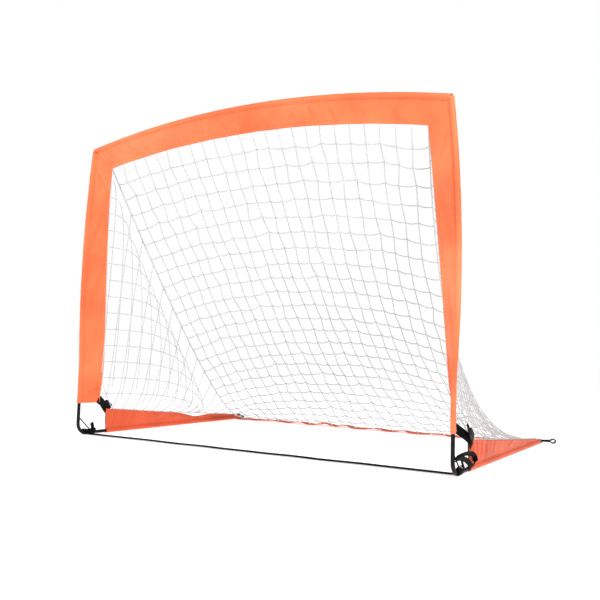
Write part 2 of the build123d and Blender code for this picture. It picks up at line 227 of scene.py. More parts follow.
def smooth_path(points, step):
    """Catmull-Rom curve through a few points, about one point per step."""
    p = [np.asarray(q, float) for q in points]
    p = [2 * p[0] - p[1], *p, 2 * p[-1] - p[-2]]
    out = []
    for a, b, c, d in zip(p, p[1:], p[2:], p[3:]):
        count = max(2, int(np.linalg.norm(c - b) / step))
        for t in np.arange(count) / count:
            out.append(b + (c - a) * t / 2 + (2 * a - 5 * b + 4 * c - d) * t * t / 2
                       + (3 * b - a - 3 * c + d) * t**3 / 2)
    return np.array([*out, p[-2]])


def ripple(a, b, size, seed):
    """Smooth noise from -1 to 1 at a place on the cloth, for wrinkles of about that size."""
    return noise.noise(Vector((a / size, b / size, seed * 7.3)))


# ------------------------------------------------------------------ materials


class Nodes:
    """Short calls for building one material's node tree."""

    def __init__(self, name, base, roughness):
        self.material = bpy.data.materials.new(name)
        self.material.use_nodes = True
        self.tree = self.material.node_tree
        self.shader = self.tree.nodes["Principled BSDF"]
        self.shader.inputs["Base Color"].default_value = (*base, 1)
        self.shader.inputs["Roughness"].default_value = roughness

    def node(self, kind, *links, **values):
        """A node of that kind, with links to its inputs in order and values for named inputs or settings."""
        made = self.tree.nodes.new("ShaderNode" + kind)
        for key, value in values.items():
            if key in made.inputs:
                made.inputs[key].default_value = value
            else:
                setattr(made, key, value)
        for index, link in enumerate(links):
            self.tree.links.new(link, made.inputs[index])
        return made.outputs[0]

    def maths(self, operation, a, b=0.0):
        """A Math node; a and b are sockets or numbers."""
        made = self.tree.nodes.new("ShaderNodeMath")
        made.operation = operation
        for index, value in enumerate((a, b)):
            if isinstance(value, bpy.types.NodeSocket):
                self.tree.links.new(value, made.inputs[index])
            else:
                made.inputs[index].default_value = value
        return made.outputs[0]

    def noise(self, scale, detail=3.0):
        """Noise in object space, from 0 to 1."""
        place = self.tree.nodes.new("ShaderNodeTexCoord").outputs["Object"]
        return self.node("TexNoise", place, Scale=scale, Detail=detail)

    def colours(self, factor, stops):
        """Base colour from a ramp of (position, colour) stops over the factor."""
        ramp = self.tree.nodes.new("ShaderNodeValToRGB")
        while len(ramp.color_ramp.elements) < len(stops):
            ramp.color_ramp.elements.new(0.5)
        for element, (position, colour) in zip(ramp.color_ramp.elements, stops):
            element.position = position
            element.color = (*colour, 1)
        self.tree.links.new(factor, ramp.inputs[0])
        self.tree.links.new(ramp.outputs[0], self.shader.inputs["Base Color"])

    def roughness(self, factor, low, high):
        """Roughness from low to high over the factor."""
        made = self.node("MapRange", factor, **{"To Min": low, "To Max": high})
        self.tree.links.new(made, self.shader.inputs["Roughness"])

    def bump(self, height, depth, strength=1.0):
        """Bump of that depth in metres."""
        made = self.tree.nodes.new("ShaderNodeBump")
        made.inputs["Distance"].default_value = depth
        made.inputs["Strength"].default_value = strength
        self.tree.links.new(height, made.inputs["Height"])
        self.tree.links.new(made.outputs[0], self.shader.inputs["Normal"])

    def weave(self, across, along):
        """Height of a plain weave with those thread pitches, from -1 to 1."""
        place = self.node("UVMap", uv_map="weave")
        split = self.tree.nodes.new("ShaderNodeSeparateXYZ")
        self.tree.links.new(place, split.inputs[0])
        warp = self.maths("SINE", self.maths("MULTIPLY", split.outputs[0], pi / along))
        weft = self.maths("SINE", self.maths("MULTIPLY", split.outputs[1], pi / across))
        return self.maths("MULTIPLY", warp, weft)


def cloth_material(name, deep, main, pale, roughness=0.62):
    """Woven polyester: slow colour changes in random patches, partly tone and partly painted shade and
    highlight of folds, a plain weave and soft creasing.
    """
    made = Nodes(name, main, roughness)
    # The deep and pale stops are partly painted fold shade and painted highlight, spread by slow noise, and
    # partly tone.
    made.colours(made.noise(6.0, 5.0), ((0.30, deep), (0.52, main), (0.75, pale)))
    fine = made.noise(160.0, 2.0)
    made.roughness(fine, roughness - 0.10, roughness + 0.10)
    threads = made.maths("MULTIPLY", made.weave(0.0006, 0.0007), 0.25)
    made.bump(made.maths("ADD", threads, fine), 0.00035, 0.55)
    made.shader.inputs["Sheen Weight"].default_value = 0.25
    made.shader.inputs["Sheen Roughness"].default_value = 0.45
    made.shader.inputs["Sheen Tint"].default_value = (1.0, 0.75, 0.62, 1)
    made.shader.inputs["Specular IOR Level"].default_value = 0.35
    return made.material


def webbing_material(name, dark, worn):
    """Black polyester webbing: ribs across it, lighter where it is rubbed."""
    made = Nodes(name, dark, 0.7)
    made.colours(made.noise(45.0, 6.0), ((0.35, dark), (0.72, worn)))
    ribs = made.weave(0.0016, 0.0022)
    made.roughness(made.noise(220.0, 2.0), 0.58, 0.82)
    made.bump(ribs, 0.0004, 0.8)
    made.shader.inputs["Specular IOR Level"].default_value = 0.07
    return made.material


def hard_material(name, dark, worn, roughness, grain, depth):
    """Moulded plastic, powder coat or glass fibre: a fine grain and faint scuffs."""
    made = Nodes(name, dark, roughness)
    made.colours(made.noise(30.0, 8.0), ((0.45, dark), (0.80, worn)))
    fine = made.noise(grain, 3.0)
    made.roughness(fine, roughness - 0.12, roughness + 0.12)
    made.bump(fine, depth, 0.5)
    made.shader.inputs["Specular IOR Level"].default_value = 0.16
    return made.material


def yarn_material(name, deep, main, pale):
    """White net yarn: fuzzy filaments with faint dirt."""
    made = Nodes(name, main, 0.8)
    made.colours(made.noise(25.0, 5.0), ((0.25, deep), (0.50, main), (0.80, pale)))
    made.bump(made.noise(1800.0, 2.0), 0.00006, 0.5)
    made.roughness(made.noise(90.0, 2.0), 0.7, 0.9)
    made.shader.inputs["Sheen Weight"].default_value = 0.2
    return made.material


# The deep and pale colours of both cloths are partly painted shade and highlight of the folds.
ORANGE = cloth_material("orange_cloth", (0.84, 0.135, 0.040), (0.95, 0.190, 0.064), (1.0, 0.26, 0.100))
RED_ORANGE = cloth_material("deep_orange_cloth", (0.62, 0.070, 0.020), (0.75, 0.098, 0.029),
                            (0.86, 0.135, 0.045))
THREAD = yarn_material("orange_thread", (0.26, 0.030, 0.012), (0.36, 0.045, 0.018), (0.50, 0.075, 0.03))
DARK_THREAD = yarn_material("black_thread", (0.01, 0.01, 0.01), (0.02, 0.02, 0.02), (0.04, 0.04, 0.04))
WEBBING = webbing_material("black_webbing", (0.003, 0.003, 0.0035), (0.009, 0.009, 0.010))
YARN = yarn_material("white_yarn", (0.51, 0.51, 0.515), (0.595, 0.595, 0.595), (0.67, 0.67, 0.67))
STEEL = hard_material("black_powder_coat", (0.003, 0.003, 0.0035), (0.010, 0.010, 0.011), 0.42, 900.0,
                      0.00015)
PLASTIC = hard_material("black_plastic", (0.004, 0.004, 0.0045), (0.012, 0.012, 0.013), 0.50, 500.0,
                        0.0002)
FIBREGLASS = hard_material("black_fibreglass", (0.018, 0.018, 0.020), (0.05, 0.05, 0.05), 0.30, 1500.0,
                           0.0001)
ELASTIC = webbing_material("braided_elastic", (0.03, 0.03, 0.033), (0.10, 0.10, 0.10))


def dress(piece, material):
    """Give a new piece its material."""
    piece.data.materials.append(material)
    return piece


# ------------------------------------------------------------------ fabric between the arch and the legs, baked in place


def follow_leg(piece):
    """Fabric between the arch and a leg: its transform is baked into its mesh, and it does not turn with the
    leg.
    """
    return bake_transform(piece)


# ------------------------------------------------------------------ sewn sleeves

# Shares of the band's width where its section has points, closer together at the hem and at the pocket
FLAT_SHARES = [1.0, 0.985, 0.95, 0.90, 0.865, 0.850, 0.835, 0.82, 0.80]
FLAT_SHARES += list(np.linspace(0.74, 0.12, 13))
FLAT_SHARES += [0.085, 0.065, 0.045, 0.025, 0.005]
FLAT_START = POCKET_R * 0.85  # where the band leaves the pocket
HEM_EXTRA = 0.0006  # the hem's turned-in cloth
STITCH_DENT = 0.0006
STITCH_DENT_HALF = 0.0010  # half its width
MID_BAND = 0.035


def sheet_half(w, width, plump):
    """Half the thickness of the band at a distance w from the pole's axis."""
    half = CLOTH + plump
    if w > width - HEM:
        half += HEM_EXTRA
    for line in (POCKET_WELD, width - HEM_STITCH):
        half -= STITCH_DENT * np.exp(-(((w - line) / STITCH_DENT_HALF) ** 2))
    return max(half, 0.0004)


def sewn_sleeve(place, width, limits, step, fold, plump):
    """Points, faces and weave places of a pole pocket with a doubled band beside it.

    place gives frames along the pole, limits(w) the ends at a distance w from the pole, width(s) the band's
    reach, fold(s, w) how far the cloth stands off its plane, and plump(s, w) how far its layers stand apart.
    """
    longest = max(b - a for a, b in (limits(0.0), limits(BAND_REACH)))
    count = int(longest / step)
    points, uvs = [], []
    for i in range(count + 1):
        for face in (1, -1):
            shares = FLAT_SHARES if face == 1 else FLAT_SHARES[::-1]
            for share in shares:
                a, b = limits(FLAT_START + share * (BAND_REACH - FLAT_START))
                s_here = a + (b - a) * i / count
                wide = width(s_here)
                w = FLAT_START + share * (wide - FLAT_START)
                origin, band, normal = place(s_here)
                half = sheet_half(w, wide, plump(s_here, w))
                if share == 1.0:
                    half *= 0.45
                points.append(origin + band * w + normal * (face * half + fold(s_here, w)))
                uvs.append((s_here, w * face))
            if face == 1:
                a, b = limits(0.0)
                s_here = a + (b - a) * i / count
                origin, band, normal = place(s_here)
                base = fold(s_here, 0.0)
                for k in range(1, POCKET_TURNS):
                    turn = POCKET_MOUTH + 2 * (pi - POCKET_MOUTH) * k / POCKET_TURNS
                    swell = POCKET_R * (1 + 0.07 * ripple(s_here, k * 0.01, 0.02, 3))
                    points.append(origin + band * swell * cos(turn) + normal * (swell * sin(turn) + base))
                    uvs.append((s_here, POCKET_R * (turn - pi)))
    columns = 2 * len(FLAT_SHARES) + POCKET_TURNS - 1
    faces = grid_faces(count + 1, columns, closed=True)
    return points, faces, uvs


def stitch_row(place, fold, plump, width, w_of, limits, face, pitch=0.0042, long=0.0027, thick=0.00042):
    """Points and faces of one row of stitches on a sleeve's face, at w_of(s) from the pole."""
    points, faces = [], []
    a, b = limits(MID_BAND)
    for s in np.arange(a + pitch, b - pitch, pitch):
        w = w_of(s)
        ends = []
        for shift in (-long / 2, long / 2):
            origin, band, normal = place(s + shift)
            half = sheet_half(w, width(s), plump(s, w)) + 0.0001
            ends.append(origin + band * w + normal * (face * half + fold(s + shift, w)))
        origin, band, normal = place(s)
        middle = (ends[0] + ends[1]) / 2
        first = len(points)
        across = band * thick
        up = normal * face * thick
        points += [ends[0], middle + across, middle + up, middle - across, middle - up * 0.4, ends[1]]
        for k in range(4):
            n = (k + 1) % 4
            faces += [(first, first + 1 + k, first + 1 + n), (first + 5, first + 1 + n, first + 1 + k)]
    return points, faces


def join_lists(parts):
    """One list of points and faces from several."""
    points, faces = [], []
    for some_points, some_faces in parts:
        first = len(points)
        points += list(some_points)
        faces += [tuple(i + first for i in f) for f in some_faces]
    return points, faces


def crease(s, w, at, angle, long, wide, height):
    """A soft ridge on the cloth, with a valley beside it: a straight crease through a point, at an angle."""
    ds, dw = s - at[0], w - at[1]
    run = ds * cos(angle) + dw * sin(angle)
    off = -ds * sin(angle) + dw * cos(angle)
    ridge = np.exp(-((off / wide) ** 2))
    valley = 0.45 * np.exp(-(((off - 1.6 * wide) / wide) ** 2))
    return height * np.exp(-((run / long) ** 2)) * (ridge - valley)


# (place along, place across, angle in degrees, length, width, height) of the creases that stand out
BAR_CREASES = (
    (0.135, 0.040, 52, 0.034, 0.0085, -0.0056), (0.195, 0.036, 56, 0.036, 0.0080, -0.0064),
    (0.255, 0.038, 50, 0.036, 0.0090, -0.0066), (0.320, 0.034, 60, 0.030, 0.0080, -0.0050),
    (0.46, 0.046, 38, 0.040, 0.0080, 0.0040), (-0.44, 0.044, 44, 0.040, 0.0085, 0.0046),
    (-0.10, 0.050, 16, 0.080, 0.0090, 0.0036), (0.02, 0.046, 30, 0.050, 0.0085, 0.0034),
    (-0.30, 0.050, 14, 0.080, 0.0080, 0.0030), (-0.525, 0.046, 52, 0.034, 0.0070, 0.0046),
    (0.36, 0.040, 48, 0.032, 0.0070, 0.0030),
)
LEFT_CREASES = (
    (0.66, 0.036, 24, 0.120, 0.0120, 0.0060), (0.50, 0.044, 18, 0.140, 0.0130, 0.0044),
    (0.135, 0.040, 70, 0.026, 0.0045, 0.0040), (0.128, 0.054, 78, 0.022, 0.0045, 0.0042),
    (0.125, 0.026, 82, 0.020, 0.0045, 0.0030), (0.80, 0.040, -38, 0.040, 0.0080, 0.0046),
    (0.30, 0.030, 12, 0.110, 0.0110, 0.0036), (0.145, 0.062, 60, 0.022, 0.0045, 0.0036),
)
RIGHT_CREASES = (
    (0.78, 0.040, -30, 0.050, 0.0085, 0.0046), (0.60, 0.040, 16, 0.110, 0.0110, 0.0044),
    (0.40, 0.036, 12, 0.120, 0.0110, 0.0040), (0.24, 0.044, 24, 0.070, 0.0085, 0.0044),
    (0.14, 0.040, 70, 0.026, 0.0055, 0.0040), (0.125, 0.055, 80, 0.022, 0.0045, 0.0040),
)


def cloth_fold(creases, seed, slack):
    """Height of the cloth off its plane: named creases, long waves and small puckers, held by the hem."""

    def height(s, w):
        free = min(1.0, max(0.0, (w - POCKET_R) / 0.02))
        wave = slack * free * ripple(s, w * 1.6, 0.075, seed)
        by_hem = np.exp(-(((w - BAND_REACH + HEM) / 0.014) ** 2))
        pucker = (0.0006 + 0.0016 * by_hem) * free * ripple(s, w * 0.25, 0.011, seed + 5)
        named = sum(crease(s, w, (a, b), radians(angle), l, h, t) for a, b, angle, l, h, t in creases)
        held = 1.0 if w < BAND_REACH - HEM else max(0.15, (BAND_REACH + 0.001 - w) / HEM)
        return (wave + pucker + named * free) * held

    return height


def cloth_plump(seed):
    """How much the two layers of the band stand apart."""

    def extra(s, w):
        middle = max(0.0, sin(pi * min(1.0, max(0.0, (w - POCKET_WELD) / (BAND_REACH - HEM - POCKET_WELD)))))
        return 0.0009 * middle * (1 + ripple(s, w, 0.03, seed))

    return extra


def uneven(base, seed, amount=0.0011):
    """A free edge that isn't quite straight."""
    return lambda s: base + amount * ripple(s, 0.0, 0.06, seed)


def sleeve_piece(name, node, place, limits, creases, seed, left, width=None, slack=0.0024, material=ORANGE,
                 hem_thread=THREAD, step=0.004):
    """One sewn sleeve, which stands for a node, and its rows of stitching; left mirrors them."""
    width = width or uneven(BAND_REACH, seed)
    fold, plump = cloth_fold(creases, seed, slack), cloth_plump(seed)
    points, faces, uvs = sewn_sleeve(place, width, limits, step, fold, plump)
    if left:
        points, faces = mirrored(points), flip(faces)
    sleeve = dress(make_mesh(name, points, faces, uvs), material)
    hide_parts(node)
    threads = []
    for row, line, colour in (("_pocket_stitching", lambda s: POCKET_WELD, THREAD),
                              ("_hem_stitching", lambda s: width(s) - HEM_STITCH, hem_thread)):
        points, faces = join_lists([stitch_row(place, fold, plump, width, line, limits, f) for f in (1, -1)])
        if left:
            points, faces = mirrored(points), flip(faces)
        threads.append(dress(make_mesh(name + row, points, faces, smooth=False), colour))
    return sleeve, threads


def remember(function):
    """Keep a slow function's answers."""
    kept = {}

    def quick(w):
        key = round(w, 7)
        if key not in kept:
            kept[key] = function(w)
        return kept[key]

    return quick


@remember
def post_limits(w):
    """Heights where the post's sleeve begins and ends, at a distance w from the pole."""
    return SLEEVE_BOTTOM, meets_mitre(post_place, 0.75, 0.92, w, -1)


@remember
def bar_limits(w):
    """The same for the crossbar's sleeve, along the bar."""
    end = meets_mitre(bar_place, 0.40, 0.62, w, 1)
    return -end, end


crossbar, threads = sleeve_piece("crossbar_cover", "crossbar_sleeve", bar_place, bar_limits, BAR_CREASES,
                                 11, False)
for piece in (crossbar, *threads):
    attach(piece, "root")

for side, creases, seed in (("left", LEFT_CREASES, 23), ("right", RIGHT_CREASES, 37)):
    cover, threads = sleeve_piece(side + "_post_cover", side + "_post_sleeve", post_place, post_limits,
                                  creases, seed, side == "left")
    for piece in (cover, *threads):
        follow_leg(piece)

# ------------------------------------------------------------------ side panels

PANEL_CREASES = {
    "right": ((0.185, 0.034, 84, 0.030, 0.006, 0.0034), (0.225, 0.030, 86, 0.030, 0.006, 0.0030),
              (0.270, 0.028, 80, 0.026, 0.007, 0.0024), (0.150, 0.040, 70, 0.026, 0.005, 0.0030),
              (0.34, 0.030, 60, 0.036, 0.009, 0.0020), (0.50, 0.022, 20, 0.080, 0.008, 0.0020)),
    "left": ((0.150, 0.040, 84, 0.030, 0.006, 0.0034), (0.230, 0.034, 60, 0.036, 0.008, 0.0026),
             (0.40, 0.026, 14, 0.090, 0.010, 0.0036), (0.58, 0.018, 30, 0.050, 0.010, 0.0050),
             (0.68, 0.016, -20, 0.060, 0.008, 0.0036)),
}


def panel_width(side):
    """How far the panel's top edge is from the ground pole's axis, as a function of the place along it."""
    pinch = PINCH[1] if side == "left" else 0.0
    return lambda y: edge_height(y) - GROUND_Z - pinch * np.exp(-(((y - PINCH[0]) / PINCH[2]) ** 2))


def panel_limits(w):
    """Both ends of a panel; the front edge leans 4 mm forwards on its way up."""
    return PANEL_START - 0.004 * min(1.0, w / 0.07), PANEL_END


for side in ("left", "right"):
    panel, threads = sleeve_piece(side + "_panel_cover", side + "_side_panel", panel_place, panel_limits,
                                  PANEL_CREASES[side], 51 if side == "left" else 67, side == "left",
                                  width=panel_width(side), slack=0.0030, material=RED_ORANGE,
                                  hem_thread=DARK_THREAD)
    for piece in (panel, *threads):
        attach(piece, side + "_leg")

# ------------------------------------------------------------------ rear band

BAND_FRONT = 0.838
BAND_BACK = 0.900
BAND_STEP = 0.005
BAND_THICK = 0.0022
BAND_ENDS = 0.585  # x where the band is flat under the legs
# (x, height, half width) of the humps in the band where it is slack
HUMPS = ((-0.42, 0.005, 0.050), (-0.30, 0.008, 0.032), (-0.19, 0.013, 0.030), (-0.105, 0.010, 0.024),
         (0.02, 0.007, 0.028), (0.13, 0.007, 0.022), (0.26, 0.005, 0.032), (0.40, 0.004, 0.040))


def band_height(x, y):
    """Height of the underside of the rear band above the ground."""
    across = (y - BAND_FRONT) / (BAND_BACK - BAND_FRONT)
    front = (1 - across) ** 0.8
    hump = sum(h * np.exp(-(((x - c) / w) ** 2)) for c, h, w in HUMPS)
    ends = min(1.0, (BAND_ENDS - abs(x)) / 0.05)
    return max(0.0, hump * (0.25 + 0.75 * front) + 0.0015 * (1 + ripple(x, y, 0.03, 71))) * max(0.0, ends)


def rear_band(side):
    """Half of the rear band, from the middle to a leg, as a doubled strip of cloth."""
    sign = 1 if side == "right" else -1
    xs = np.linspace(0.0, HALF - 0.010, int((HALF - 0.010) / BAND_STEP))
    ys = np.linspace(BAND_FRONT, BAND_BACK, 16)
    points, uvs = [], []
    for x in xs:
        for layer, row in ((1, ys), (0, ys[::-1])):
            for y in row:
                edge = min(1.0, min(y - BAND_FRONT, BAND_BACK - y) / 0.002)
                thick = BAND_THICK * (0.35 + 0.65 * edge) * layer
                sway = 0.003 * ripple(sign * x, 0.0, 0.12, 73)
                points.append((sign * x, POST_Y + y + sway, band_height(sign * x, y) + thick))
                uvs.append((x, y + layer))
    faces = grid_faces(len(xs), 2 * len(ys), closed=True)
    piece = make_mesh(side + "_rear_band", points, faces if sign > 0 else flip(faces), uvs)
    return dress(piece, RED_ORANGE)


for side in ("left", "right"):
    band = rear_band(side)
    follow_leg(band)
    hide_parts("rear_ground_band")

# ------------------------------------------------------------------ the net

# The back net hangs in arcs from the crossbar to the band: each is drawn by its top, its foot and the point
# that pulls it down. The seams run from the sleeves' inner corners to the rear ends of the panels.
corner_origin, corner_band, _normal = bar_place(bar_limits(BAND_REACH)[1])
SEAM_TOP = corner_origin + corner_band * NET_REACH - MIDDLE
SEAM_PULL = np.array([0.400, 0.470, 0.002])
SEAM_END = np.array([0.584, 0.866, 0.013])
CENTRE_PULL = (0.380, 0.255)  # y and z
CENTRE_FOOT = (0.836, 0.0055)
SEAM_SHIFT = np.array([0.006, 0.003, 0.002])  # between the two nets' edge cords


def net_point(across, down):
    """A point of the back net behind the post axis: across from -1 to 1, down from 0 to 1."""
    edge, corner = across**2, across**4
    x = SEAM_TOP[0] * across
    bar_z = BAR_CENTRE_Z + sqrt(BAR_R**2 - x * x) - NET_REACH * cos(BAR_TILT)
    top = np.array([x, NET_REACH * sin(BAR_TILT), bar_z * (1 - across**8) + SEAM_TOP[2] * across**8])
    pull = np.array([SEAM_PULL[0] * across, CENTRE_PULL[0] + edge * (SEAM_PULL[1] - CENTRE_PULL[0]),
                     CENTRE_PULL[1] + edge * (SEAM_PULL[2] - CENTRE_PULL[1])])
    foot = np.array([SEAM_END[0] * across, CENTRE_FOOT[0] + corner * (SEAM_END[1] - CENTRE_FOOT[0]),
                     CENTRE_FOOT[1] + corner * (SEAM_END[2] - CENTRE_FOOT[1])])
    return top * (1 - down) ** 2 + pull * 2 * down * (1 - down) + foot * down**2


def spaced(line, count):
    """count + 1 points evenly along a line of points."""
    line = np.asarray(line)
    run = np.concatenate([[0.0], np.cumsum(np.linalg.norm(np.diff(line, axis=0), axis=1))])
    at = np.linspace(0, run[-1], count + 1)
    return np.stack([np.interp(at, run, line[:, k]) for k in range(3)], axis=1)


def strand(line, step=0.003, wide=STRAND_WIDE, thin=STRAND_THIN, pitch=0.015, phase=0.0):
    """A two-ply cord along a line: a flattened six-sided section that turns as it goes."""
    line = np.asarray(line)
    length = np.linalg.norm(np.diff(line, axis=0), axis=1).sum()
    centre = spaced(line, max(2, int(length / step)))
    tangent = np.gradient(centre, axis=0)
    tangent /= np.linalg.norm(tangent, axis=1)[:, None] + 1e-12
    side = np.cross(tangent, np.array([0.31, 0.17, 0.93]))
    side /= np.linalg.norm(side, axis=1)[:, None] + 1e-12
    up = np.cross(tangent, side)
    turn = phase + pi * np.arange(len(centre)) * step / pitch
    corners = 6
    rings = []
    for k in range(corners):
        angle = 2 * pi * k / corners
        a, b = wide * cos(angle), thin * sin(angle)
        rings.append(centre + side * (a * np.cos(turn) - b * np.sin(turn))[:, None]
                     + up * (a * np.sin(turn) + b * np.cos(turn))[:, None])
    points = np.stack(rings, axis=1).reshape(-1, 3)
    faces = grid_faces(len(centre), corners, closed=True)
    faces += [tuple(range(corners))[::-1], tuple(len(points) - corners + k for k in range(corners))]
    return points, faces


def knot(at, size):
    """A small lumpy knot where two strands are laced through each other."""
    ends = [(1, 0, 0), (-1, 0, 0), (0, 1, 0), (0, -1, 0), (0, 0, 1), (0, 0, -1)]
    middles = [(a, b, c) for a in (-0.62, 0.62) for b in (-0.62, 0.62) for c in (-0.62, 0.62)]
    points = [at + size * np.array(p) for p in ends + middles]
    faces = []
    for k, m in enumerate(middles):
        near = [0 if m[0] > 0 else 1, 2 if m[1] > 0 else 3, 4 if m[2] > 0 else 5]
        odd = (m[0] > 0) + (m[1] > 0) + (m[2] > 0)
        order = near if odd % 2 else near[::-1]
        for a, b in zip(order, order[1:] + order[:1]):
            faces.append((a, b, 6 + k))
    return points, faces


def slack_line(knots, droop):
    """A strand through its knots, hanging a little between them."""
    out = []
    for a, b in zip(knots, knots[1:]):
        for t in (0.0, 0.2, 0.4, 0.6, 0.8):
            out.append(a + (b - a) * t - np.array([0, 0, droop * 4 * t * (1 - t)]))
    return np.array([*out, knots[-1]])


def back_knots():
    """Knots of the back net, as an array of columns x rows x 3."""
    shares = np.linspace(-1, 1, COLUMNS)
    centre = [net_point(0.0, t) for t in np.linspace(0, 1, 80)]
    rows = round(np.linalg.norm(np.diff(centre, axis=0), axis=1).sum() / ROW_PITCH)
    grid = np.array([spaced([net_point(a, t) for t in np.linspace(0, 1, 80)], rows) for a in shares])
    rng = np.random.default_rng(4)
    loose = rng.normal(0, 1, grid.shape) * np.array([0.0026, 0.0018, 0.0026])
    loose[[0, -1]] = 0
    loose[:, [0, -1]] = 0
    return grid + loose + MIDDLE


BACK = back_knots()
NET_ROWS = BACK.shape[1]


def back_net(side):
    """Half of the back net, from the middle column to one seam."""
    middle = COLUMNS // 2
    columns = range(middle, COLUMNS) if side == "right" else range(0, middle + 1)
    parts = []
    for c in columns:
        if c != middle or side == "right":
            parts.append(strand(slack_line(BACK[c], 0.0006), phase=c))
    for r in range(1, NET_ROWS - 1):
        run = BACK[columns[0]:columns[-1] + 1, r]
        parts.append(strand(slack_line(run, 0.0026 + 0.0022 * r / NET_ROWS), phase=r * 1.7))
        parts += [knot(BACK[c, r], KNOT_R) for c in columns]
    return parts


SEAM_RUN = np.array([net_point(1.0, t) for t in np.linspace(0, 1, 120)]) + SEAM_SHIFT


def seam_at(z):
    """Point of the side net's seam at a height."""
    return np.array([np.interp(z, SEAM_RUN[::-1, 2], SEAM_RUN[::-1, k]) for k in (0, 1)])


def front_at(z):
    """Point (x, y) of the side net's edge at a height: down the sleeve, across the gap, along the panel."""
    origin, band, _normal = post_place(max(z, NET_FOOT_Z))
    edge = origin + band * NET_REACH
    if z >= NET_FOOT_Z:
        return np.array([edge[0], edge[1] - POST_Y])
    top_x, top_z = HALF - 0.002, edge_height(PANEL_NET_Y)
    if z >= top_z:
        share = (z - top_z) / (NET_FOOT_Z - top_z)
        return np.array([top_x + share * (edge[0] - top_x),
                         PANEL_NET_Y + share * (edge[1] - POST_Y - PANEL_NET_Y)])
    heights = [p[1] for p in PANEL_EDGE][::-1]
    return np.array([HALF - 0.001, np.interp(z, heights, [p[0] for p in PANEL_EDGE][::-1])])


def side_point(y, z):
    """A point of the right side net, with x worked out between its front edge and its seam."""
    front, seam = front_at(z), seam_at(z)
    share = min(1.0, max(0.0, (y - front[1]) / max(1e-6, seam[1] - front[1])))
    return np.array([front[0] + (seam[0] - front[0]) * share**1.15, y, z])


def row_height(z, y):
    """Height at depth y of the side net's row that starts at height z: level, then drawn down by the seam."""
    front, seam = front_at(z)[1], seam_at(z)[1]
    share = max(0.0, (y - front) / max(0.01, seam - front))
    return z - 0.055 * share**4 - 0.08 * y * y


def side_net(side):
    """One side net: rows parallel to the panel, columns parallel to the post, cut off at the seam."""
    rng = np.random.default_rng(8 if side == "right" else 9)
    parts = []
    step = 0.006

    def loose(point):
        return point + rng.normal(0, 0.0005, 3) * np.array([1.0, 0.5, 1.0])

    def sagging(point):
        drop = 0.0014 * abs(sin(pi * (point[1] - SIDE_COLUMN_START) / SIDE_COLUMN_PITCH))
        return point - np.array([0, 0, drop])

    row_starts = np.arange(SIDE_ROW_START, 0.80, SIDE_ROW_PITCH)
    column_places = np.arange(SIDE_COLUMN_START, 0.86, SIDE_COLUMN_PITCH)
    for z in row_starts:
        y = front_at(z)[1]
        line = [side_point(y, z)]
        while True:
            y += step
            height = row_height(z, y)
            if height < edge_height(y) or y >= seam_at(height)[1]:
                break
            line.append(side_point(y, height))
        end = seam_at(row_height(z, y))
        if y >= end[1]:
            line.append(np.array([end[0], end[1], row_height(z, y)]))
        if len(line) > 3:
            line = [line[0], *[sagging(p) for p in line[1:-1]], line[-1]]
            parts.append(strand(np.array(line) + MIDDLE, phase=z * 40))
    for y in column_places:
        height = edge_height(y) + 0.001 if y > PANEL_NET_Y else 0.0
        line = []
        for z in np.arange(max(height, 0.02), 0.81, step):
            if front_at(z)[1] <= y < seam_at(z)[1]:
                line.append(loose(side_point(y, z)))
        if len(line) < 3:
            continue
        line.append([s for s in SEAM_RUN if s[1] >= y][0])
        parts.append(strand(np.array(line) + MIDDLE, phase=y * 70))
        for z in row_starts:
            height = row_height(z, y)
            if front_at(height)[1] < y < seam_at(height)[1] and height > edge_height(y):
                parts.append(knot(side_point(y, height) + MIDDLE, KNOT_R))
    edge = [np.array([*front_at(z), z]) for z in np.arange(0.80, 0.145, -0.02)]
    edge += [np.array([HALF - 0.001, y, edge_height(y) + 0.0015]) for y in np.arange(PANEL_NET_Y, 0.86, 0.03)]
    parts.append(strand(np.array(edge) + MIDDLE, wide=0.0016, thin=0.0012))
    return parts


def seam_parts():
    """The edge cords of both nets along the right seam, laced together."""
    inner = spaced(BACK[-1], 160)
    outer = spaced(SEAM_RUN + MIDDLE, 160)
    parts = [strand(inner, wide=0.0017, thin=0.0013), strand(outer, wide=0.0016, thin=0.0012)]
    for k in range(3, 157, 4):
        lace = [inner[k], (inner[k] + outer[k + 1]) / 2 + np.array([0, 0.0016, 0.0016]), outer[k + 2]]
        parts.append(strand(smooth_path(lace, 0.002), step=0.002, wide=0.0009, thin=0.0008))
    return parts


for side in ("left", "right"):
    points, faces = join_lists(back_net(side))
    back = dress(make_mesh(side + "_back_mesh", points, faces), YARN)
    points, faces = join_lists(side_net(side) + seam_parts())
    if side == "left":
        points, faces = mirrored(points), flip(faces)
    wing = dress(make_mesh(side + "_side_mesh", points, faces), YARN)
    follow_leg(back)
    follow_leg(wing)
    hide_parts("rear_net")
    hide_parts(side + "_side_net")

# ------------------------------------------------------------------ webbing


